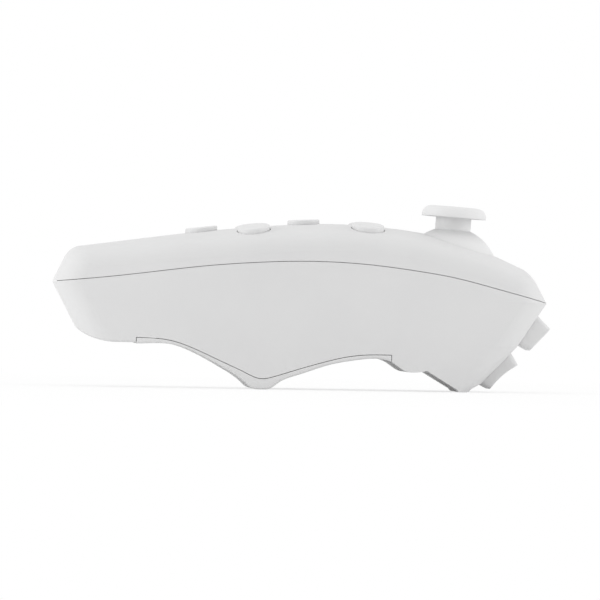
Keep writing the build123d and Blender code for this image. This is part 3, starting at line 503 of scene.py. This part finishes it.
def track_group():
    """Masks of the tracks and the tinned pads of a circuit board, in the board's own plane."""
    routed_above = 0.46
    pad_radius = 0.13
    group, given, result = empty_recipe(
        "ShaderNodeTree", "copper_tracks",
        inputs={"Place": "Vector", "Track Pitch": "Float"},
        outputs={"Tracks": "Float", "Pads": "Float"},
    )
    node = group.nodes.new
    link = group.links.new
    lines = node("ShaderNodeTexBrick")
    lines.inputs["Mortar Size"].default_value = 0.045
    lines.inputs["Mortar Smooth"].default_value = 0.1
    lines.inputs["Brick Width"].default_value = 3.7
    lines.inputs["Row Height"].default_value = 1.0
    link(given["Place"], lines.inputs["Vector"])
    link(worked(group, "DIVIDE", 1.0, given["Track Pitch"]), lines.inputs["Scale"])
    patches = node("ShaderNodeTexNoise")
    patches.inputs["Scale"].default_value = 160.0
    link(given["Place"], patches.inputs["Vector"])
    routed = worked(group, "GREATER_THAN", patches.outputs["Fac"], routed_above)
    link(worked(group, "MULTIPLY", lines.outputs["Fac"], routed), result["Tracks"])
    spots = node("ShaderNodeTexVoronoi")
    spots.inputs["Scale"].default_value = 420.0
    spots.inputs["Randomness"].default_value = 0.7
    link(given["Place"], spots.inputs["Vector"])
    link(worked(group, "LESS_THAN", spots.outputs["Distance"], pad_radius), result["Pads"])
    return group


copper_tracks = track_group()


def solder_mask(name, turn):
    """Green mask over copper on a board that is turned about Y by some degrees."""
    material, tree, shader = new_finish(name)
    node = tree.nodes.new
    link = tree.links.new
    place = node("ShaderNodeTexCoord")
    flat = node("ShaderNodeMapping")
    flat.inputs["Rotation"].default_value = (0, math.radians(turn), 0)
    link(place.outputs["Object"], flat.inputs["Vector"])
    copper = node("ShaderNodeGroup")
    copper.node_tree = copper_tracks
    copper.inputs["Track Pitch"].default_value = 0.0011
    link(flat.outputs["Vector"], copper.inputs["Place"])
    masked = node("ShaderNodeMix")
    masked.data_type = "RGBA"
    masked.inputs["A"].default_value = (0.012, 0.11, 0.045, 1)
    masked.inputs["B"].default_value = (0.03, 0.24, 0.09, 1)
    link(copper.outputs["Tracks"], masked.inputs["Factor"])
    tinned = node("ShaderNodeMix")
    tinned.data_type = "RGBA"
    tinned.inputs["B"].default_value = (0.62, 0.6, 0.55, 1)
    link(masked.outputs["Result"], tinned.inputs["A"])
    link(copper.outputs["Pads"], tinned.inputs["Factor"])
    link(tinned.outputs["Result"], shader.inputs["Base Color"])
    link(copper.outputs["Pads"], shader.inputs["Metallic"])
    raised = node("ShaderNodeBump")
    raised.inputs["Strength"].default_value = 0.4
    raised.inputs["Distance"].default_value = 0.00003
    link(copper.outputs["Tracks"], raised.inputs["Height"])
    link(raised.outputs["Normal"], shader.inputs["Normal"])
    shader.inputs["Roughness"].default_value = 0.32
    return material


stick_slope = 3.9
for board, turn in (("main_board", 0.0), ("stick_board", -stick_slope), ("trigger_board", front_slope)):
    dress(board, solder_mask(board + "_mask", turn))


# Metal pieces: the radio's shield and the crystal's can, the steel of the stick's pin, and the nickel of
# the battery springs and contacts. All are rolled or drawn, so their finish runs in fine streaks.

def streak_group():
    """Fine drawn streaks: a roughness and a normal."""
    streak_roughness = 0.25
    group, given, result = empty_recipe(
        "ShaderNodeTree", "drawn_streaks",
        inputs={"Along": "Vector", "Roughness": "Float"},
        outputs={"Roughness": "Float", "Normal": "Vector"},
    )
    node = group.nodes.new
    link = group.links.new
    place = node("ShaderNodeTexCoord")
    stretch = node("ShaderNodeVectorMath")
    stretch.operation = "MULTIPLY"
    link(place.outputs["Object"], stretch.inputs[0])
    link(given["Along"], stretch.inputs[1])
    streaks = node("ShaderNodeTexNoise")
    streaks.inputs["Scale"].default_value = 1.0
    streaks.inputs["Detail"].default_value = 4.0
    link(stretch.outputs["Vector"], streaks.inputs["Vector"])
    rough = worked(group, "MULTIPLY_ADD", streaks.outputs["Fac"], streak_roughness, given["Roughness"])
    link(rough, result["Roughness"])
    bump = node("ShaderNodeBump")
    bump.inputs["Strength"].default_value = 0.3
    bump.inputs["Distance"].default_value = 0.000005
    link(streaks.outputs["Fac"], bump.inputs["Height"])
    link(bump.outputs["Normal"], result["Normal"])
    return group


drawn_streaks = streak_group()


def rolled_metal(name, colour, roughness, along=(400, 5000, 5000)):
    """Metal with streaks that are long in the direction where the scale is small."""
    material, tree, shader = new_finish(name)
    shader.inputs["Base Color"].default_value = (*colour, 1)
    shader.inputs["Metallic"].default_value = 1.0
    streaks = tree.nodes.new("ShaderNodeGroup")
    streaks.node_tree = drawn_streaks
    streaks.inputs["Along"].default_value = along
    streaks.inputs["Roughness"].default_value = roughness
    tree.links.new(streaks.outputs["Roughness"], shader.inputs["Roughness"])
    tree.links.new(streaks.outputs["Normal"], shader.inputs["Normal"])
    return material


shield_steel = rolled_metal("shield_steel", (0.62, 0.62, 0.61), roughness=0.2)
bright_steel = rolled_metal("bright_steel", (0.56, 0.56, 0.57), roughness=0.15, along=(3000, 400, 3000))
nickel = rolled_metal("nickel_plate", (0.66, 0.64, 0.58), roughness=0.12, along=(3000, 3000, 600))
for node in ("radio_module", "crystal"):
    dress(node, shield_steel)
dress("cross_pin", bright_steel)
for node in (
    "left_battery_spring", "right_battery_spring",
    "rear_contact", "left_front_contact", "right_front_contact",
):
    dress(node, nickel)


# Small parts soldered under the main board: the controller in black epoxy, brown ceramic capacitors and
# cream nylon ribbon connectors.

dress("controller_chip", moulded_plastic(
    "chip_epoxy", (0.018, 0.018, 0.02), roughness=0.5, grain_size=0.00012, relief=0.000006,
))
dress("capacitors", moulded_plastic(
    "capacitor_ceramic", (0.3, 0.2, 0.11), roughness=0.35, grain_size=0.0001, relief=0.000003, variation=0.5,
))
dress("ribbon_connectors", moulded_plastic(
    "connector_nylon", (0.66, 0.6, 0.48), roughness=0.4, grain_size=0.0002, relief=0.000005,
))


# Thumbstick module: a black nylon housing and gimbal ring, a white acetal shaft and plunger, and two green
# potentiometers on the housing's walls.

nylon = moulded_plastic(
    "module_nylon", (0.025, 0.025, 0.028), roughness=0.42, grain_size=0.0002, relief=0.000006,
)
acetal = moulded_plastic(
    "module_acetal", (0.7, 0.69, 0.66), roughness=0.35, grain_size=0.0002, relief=0.000003, variation=0.1,
)
phenolic = moulded_plastic(
    "potentiometer_case", (0.03, 0.11, 0.06), roughness=0.4, grain_size=0.0002, relief=0.000005,
)
for node, material in (
    ("stick_housing", nylon), ("gimbal_ring", nylon), ("stick_shaft", acetal), ("centring_plunger", acetal),
    ("roll_potentiometer", phenolic), ("pitch_potentiometer", phenolic),
):
    dress(node, material)


def hardware_recipe(name, sizes):
    """An empty tree for a small metal part, with named inputs for its places, direction, sizes and metal."""
    inputs = {"Places": "Geometry", "Direction": "Vector", **dict.fromkeys(sizes, "Float")}
    inputs["Metal"] = "Material"
    return empty_recipe("GeometryNodeTree", name, inputs, outputs={"Parts": "Geometry"})


def set_out(tree, given, result, part):
    """The end of such a tree: the part stands on every place, along the direction, in its metal."""
    node = tree.nodes.new
    link = tree.links.new
    turn = node("FunctionNodeAlignRotationToVector")
    turn.axis = "Z"
    link(given["Direction"], turn.inputs["Vector"])
    stand = node("GeometryNodeInstanceOnPoints")
    link(given["Places"], stand.inputs["Points"])
    link(part, stand.inputs["Instance"])
    link(turn.outputs["Rotation"], stand.inputs["Rotation"])
    real = node("GeometryNodeRealizeInstances")
    link(stand.outputs["Instances"], real.inputs["Geometry"])
    finish = node("GeometryNodeSetMaterial")
    link(real.outputs["Geometry"], finish.inputs["Geometry"])
    link(given["Metal"], finish.inputs["Material"])
    link(finish.outputs["Geometry"], result["Parts"])


def coil_tree():
    """A wire coil that stands on each place, along a given direction."""
    tree, given, result = hardware_recipe("wire_coil", ("Coil Radius", "Wire Radius", "Turns", "Height"))
    node = tree.nodes.new
    link = tree.links.new
    spiral = node("GeometryNodeCurveSpiral")
    spiral.inputs["Resolution"].default_value = 32
    link(given["Turns"], spiral.inputs["Rotations"])
    link(given["Coil Radius"], spiral.inputs["Start Radius"])
    link(given["Coil Radius"], spiral.inputs["End Radius"])
    link(given["Height"], spiral.inputs["Height"])
    section = node("GeometryNodeCurvePrimitiveCircle")
    section.inputs["Resolution"].default_value = 12
    link(given["Wire Radius"], section.inputs["Radius"])
    wire = node("GeometryNodeCurveToMesh")
    wire.inputs["Fill Caps"].default_value = True
    link(spiral.outputs["Curve"], wire.inputs["Curve"])
    link(section.outputs["Curve"], wire.inputs["Profile Curve"])
    set_out(tree, given, result, wire.outputs["Mesh"])
    return tree


def grown(name, tree, places, values):
    """The plain mesh that a tree grows on a set of places."""
    mesh = bpy.data.meshes.new(name)
    mesh.from_pydata(places, [], [])
    holder = bpy.data.objects.new(name, mesh)
    bpy.context.scene.collection.objects.link(holder)
    modifier = holder.modifiers.new(name, "NODES")
    modifier.node_group = tree
    for item in tree.interface.items_tree:
        if item.in_out == "INPUT" and item.name in values:
            modifier[item.identifier] = values[item.name]
    depsgraph = bpy.context.evaluated_depsgraph_get()
    plain = bpy.data.meshes.new_from_object(holder.evaluated_get(depsgraph))
    bpy.data.objects.remove(holder)
    return plain


stick_pivot = Vector((0.0387, 0, 0.0302))
stick_lean = math.radians(stick_slope)
stick_up = Vector((math.sin(stick_lean), 0, math.cos(stick_lean)))
spring_depth = 0.00515
spring_foot = stick_pivot - spring_depth * stick_up
spring_mesh = grown("centring_coil", coil_tree(), [spring_foot], {
    "Direction": stick_up, "Coil Radius": 0.00235, "Wire Radius": 0.00025, "Turns": 3.5, "Height": 0.00165,
    "Metal": bright_steel,
})
add_piece("centring_coil", spring_mesh, "housing", [], ["centring_spring"])


# Cells: two AAA cells, one each way round, in a printed film sleeve over a nickel-plated can that shows
# at both ends.

cell_length = 0.0445
sleeve_start = 0.02
sleeve_end = 0.955


def cell_sleeve(name, flat_end, direction):
    """Film sleeve and bare ends, told apart by the distance from the cell's flat end."""
    material, tree, shader = new_finish(name)
    node = tree.nodes.new
    link = tree.links.new
    place = node("ShaderNodeTexCoord")
    parts = node("ShaderNodeSeparateXYZ")
    link(place.outputs["Object"], parts.inputs["Vector"])
    along = node("ShaderNodeMapRange")
    along.inputs["From Min"].default_value = flat_end
    along.inputs["From Max"].default_value = flat_end + cell_length * direction
    link(parts.outputs["X"], along.inputs["Value"])
    bands = node("ShaderNodeValToRGB")
    bands.color_ramp.interpolation = "CONSTANT"
    bands.color_ramp.elements[0].color = (0.66, 0.65, 0.62, 1)
    bands.color_ramp.elements[1].position = sleeve_start
    bands.color_ramp.elements[1].color = (0.05, 0.06, 0.08, 1)
    for position, colour in (
        (0.76, (0.55, 0.55, 0.56, 1)), (0.78, (0.09, 0.17, 0.3, 1)), (sleeve_end, (0.66, 0.65, 0.62, 1)),
    ):
        bands.color_ramp.elements.new(position).color = colour
    link(along.outputs["Result"], bands.inputs["Fac"])
    link(bands.outputs["Color"], shader.inputs["Base Color"])
    bare = node("ShaderNodeValToRGB")
    bare.color_ramp.interpolation = "CONSTANT"
    bare.color_ramp.elements[0].color = (1, 1, 1, 1)
    bare.color_ramp.elements[1].position = sleeve_start
    bare.color_ramp.elements[1].color = (0, 0, 0, 1)
    bare.color_ramp.elements.new(sleeve_end).color = (1, 1, 1, 1)
    link(along.outputs["Result"], bare.inputs["Fac"])
    link(bare.outputs["Color"], shader.inputs["Metallic"])
    streaks = node("ShaderNodeGroup")
    streaks.node_tree = drawn_streaks
    streaks.inputs["Along"].default_value = (300, 3000, 3000)
    streaks.inputs["Roughness"].default_value = 0.15
    link(streaks.outputs["Roughness"], shader.inputs["Roughness"])
    link(streaks.outputs["Normal"], shader.inputs["Normal"])
    return material


left_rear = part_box("battery_cell_left")[0][0]
right_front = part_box("battery_cell_right")[1][0]
dress("battery_cell_left", cell_sleeve("left_cell_sleeve", left_rear, 1))
dress("battery_cell_right", cell_sleeve("right_cell_sleeve", right_front, -1))


# Wires and ribbons: red and black silicone wires from the battery contacts to the board, and two amber
# polyimide ribbons whose copper lines show through.

dress("red_battery_wire", moulded_plastic(
    "red_insulation", (0.5, 0.02, 0.02), roughness=0.4, grain_size=0.0003, relief=0.000005,
))
dress("black_battery_wire", moulded_plastic(
    "black_insulation", (0.02, 0.02, 0.02), roughness=0.4, grain_size=0.0003, relief=0.000005,
))


def ribbon_film(name, line_pitch):
    """Amber film with copper lines along it, side by side across its width."""
    material, tree, shader = new_finish(name)
    node = tree.nodes.new
    link = tree.links.new
    shader.inputs["Roughness"].default_value = 0.3
    place = node("ShaderNodeTexCoord")
    parts = node("ShaderNodeSeparateXYZ")
    link(place.outputs["Object"], parts.inputs["Vector"])
    across = worked(tree, "MULTIPLY", parts.outputs["Y"], 2 * math.pi / line_pitch)
    line = worked(tree, "GREATER_THAN", worked(tree, "SINE", across), -0.2)
    shade = node("ShaderNodeMix")
    shade.data_type = "RGBA"
    shade.inputs["A"].default_value = (0.32, 0.13, 0.02, 1)
    shade.inputs["B"].default_value = (0.5, 0.26, 0.07, 1)
    link(line, shade.inputs["Factor"])
    link(shade.outputs["Result"], shader.inputs["Base Color"])
    relief = node("ShaderNodeBump")
    relief.inputs["Distance"].default_value = 0.00003
    link(line, relief.inputs["Height"])
    link(relief.outputs["Normal"], shader.inputs["Normal"])
    return material


polyimide = ribbon_film("ribbon_polyimide", line_pitch=0.0005)
for node in ("trigger_ribbon", "stick_ribbon"):
    dress(node, polyimide)


# Screws: zinc-plated self-tapping screws with a cross recess in a pan head. Three hold the shells
# together from below, and the others hold the boards to their posts.

def screw_tree():
    """A screw on each place, driven along a given direction, with its head behind the place."""
    tree, given, result = hardware_recipe("driven_screws", (
        "Shank Radius", "Head Radius", "Length", "Head Height", "Pitch", "Recess Depth",
    ))
    node = tree.nodes.new
    link = tree.links.new

    def share(value, factor):
        return worked(tree, "MULTIPLY", value, factor)

    def moved(geometry, height):
        shift = node("ShaderNodeCombineXYZ")
        link(height, shift.inputs["Z"])
        place = node("GeometryNodeTransform")
        link(geometry, place.inputs["Geometry"])
        link(shift.outputs["Vector"], place.inputs["Translation"])
        return place.outputs["Geometry"]

    shank = given["Shank Radius"]
    length = given["Length"]
    head = given["Head Radius"]
    height = given["Head Height"]
    rim_share = 0.55
    thread_length = share(length, 0.9)
    core = node("GeometryNodeMeshCylinder")
    core.inputs["Vertices"].default_value = 20
    link(share(shank, 0.74), core.inputs["Radius"])
    link(length, core.inputs["Depth"])
    spiral = node("GeometryNodeCurveSpiral")
    spiral.inputs["Resolution"].default_value = 20
    link(worked(tree, "DIVIDE", thread_length, given["Pitch"]), spiral.inputs["Rotations"])
    link(share(shank, 0.78), spiral.inputs["Start Radius"])
    link(share(shank, 0.62), spiral.inputs["End Radius"])
    link(thread_length, spiral.inputs["Height"])
    ridge = node("GeometryNodeCurvePrimitiveCircle")
    ridge.inputs["Resolution"].default_value = 3
    link(share(shank, 0.22), ridge.inputs["Radius"])
    thread = node("GeometryNodeCurveToMesh")
    thread.inputs["Fill Caps"].default_value = True
    link(spiral.outputs["Curve"], thread.inputs["Curve"])
    link(ridge.outputs["Curve"], thread.inputs["Profile Curve"])
    pan = node("GeometryNodeMeshCylinder")
    pan.inputs["Vertices"].default_value = 40
    link(head, pan.inputs["Radius"])
    link(share(height, rim_share), pan.inputs["Depth"])
    crown = node("GeometryNodeExtrudeMesh")
    crown.mode = "FACES"
    facing = node("GeometryNodeInputNormal")
    facing_parts = node("ShaderNodeSeparateXYZ")
    link(facing.outputs["Normal"], facing_parts.inputs["Vector"])
    link(pan.outputs["Mesh"], crown.inputs["Mesh"])
    link(worked(tree, "LESS_THAN", facing_parts.outputs["Z"], -0.5), crown.inputs["Selection"])
    link(share(height, 1 - rim_share), crown.inputs["Offset Scale"])
    rounded = node("GeometryNodeScaleElements")
    rounded.inputs["Scale"].default_value = 0.72
    link(crown.outputs["Mesh"], rounded.inputs["Geometry"])
    link(crown.outputs["Top"], rounded.inputs["Selection"])
    head_solid = moved(rounded.outputs["Geometry"], share(height, -rim_share / 2))
    recess = node("GeometryNodeMeshBoolean")
    recess.operation = "DIFFERENCE"
    link(head_solid, recess.inputs[0])
    arm_length = share(head, 1.1)
    arm_width = share(head, 0.3)
    arm_depth = share(given["Recess Depth"], 2.0)
    head_top = share(height, -1.0)
    for long_side, short_side in (("X", "Y"), ("Y", "X")):
        size = node("ShaderNodeCombineXYZ")
        link(arm_length, size.inputs[long_side])
        link(arm_width, size.inputs[short_side])
        link(arm_depth, size.inputs["Z"])
        arm = node("GeometryNodeMeshCube")
        link(size.outputs["Vector"], arm.inputs["Size"])
        link(moved(arm.outputs["Mesh"], head_top), recess.inputs[1])
    whole = node("GeometryNodeJoinGeometry")
    core_solid = moved(core.outputs["Mesh"], share(length, 0.5))
    for solid in (core_solid, thread.outputs["Mesh"], recess.outputs[0]):
        link(solid, whole.inputs["Geometry"])
    set_out(tree, given, result, whole.outputs["Geometry"])
    return tree


driven_screws = screw_tree()
zinc = rolled_metal("zinc_plate", (0.6, 0.61, 0.63), roughness=0.22, along=(2500, 2500, 900))
small_screw = {
    "Shank Radius": 0.0008, "Head Radius": 0.0015, "Length": 0.005, "Head Height": 0.0013, "Pitch": 0.00055,
    "Recess Depth": 0.0007, "Metal": zinc,
}
big_screw = {
    "Shank Radius": 0.00095, "Head Radius": 0.0019, "Length": 0.008, "Head Height": 0.0013, "Pitch": 0.0008,
    "Recess Depth": 0.0007, "Metal": zinc,
}
shell_seat = 0.0205
rear_screw_x = -0.05
rear_screw_y = 0.0075
shell_seats = [
    (rear_screw_x, rear_screw_y, shell_seat), (rear_screw_x, -rear_screw_y, shell_seat),
    (*pillar_spot, shell_seat),
]
board_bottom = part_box("main_board")[0][2]
board_seats = [(x, y, board_bottom) for x, y in board_screw_spots]
stick_across = Vector((math.cos(stick_lean), 0, -math.sin(stick_lean)))
stick_seat_depth = 0.0074
stick_screw_x = 0.01
stick_screw_y = 0.0126
stick_seats = [
    stick_pivot - stick_seat_depth * stick_up + x * stick_across + Vector((0, y, 0))
    for x in (stick_screw_x, -stick_screw_x) for y in (stick_screw_y, -stick_screw_y)
]
trigger_seat_level = -0.0102
trigger_screw_x = -0.0004
trigger_screw_y = 0.011
trigger_seats = [
    trigger_frame @ Vector((trigger_screw_x, y, trigger_seat_level))
    for y in (trigger_screw_y, -trigger_screw_y)
]
trigger_out = trigger_frame.to_3x3().col[2]
for node, seats, direction, sizes in (
    ("housing_screws", shell_seats, (0, 0, 1), big_screw),
    ("main_board_screws", board_seats, (0, 0, 1), small_screw),
    ("stick_board_screws", stick_seats, stick_up, small_screw),
    ("trigger_board_screws", trigger_seats, trigger_out, small_screw),
):
    name = node.replace("screws", "fixings")
    fixings = grown(name, driven_screws, seats, {"Direction": direction, **sizes})
    add_piece(name, fixings, "housing", [], [node])

bpy.context.scene.view_settings.view_transform = "Standard"
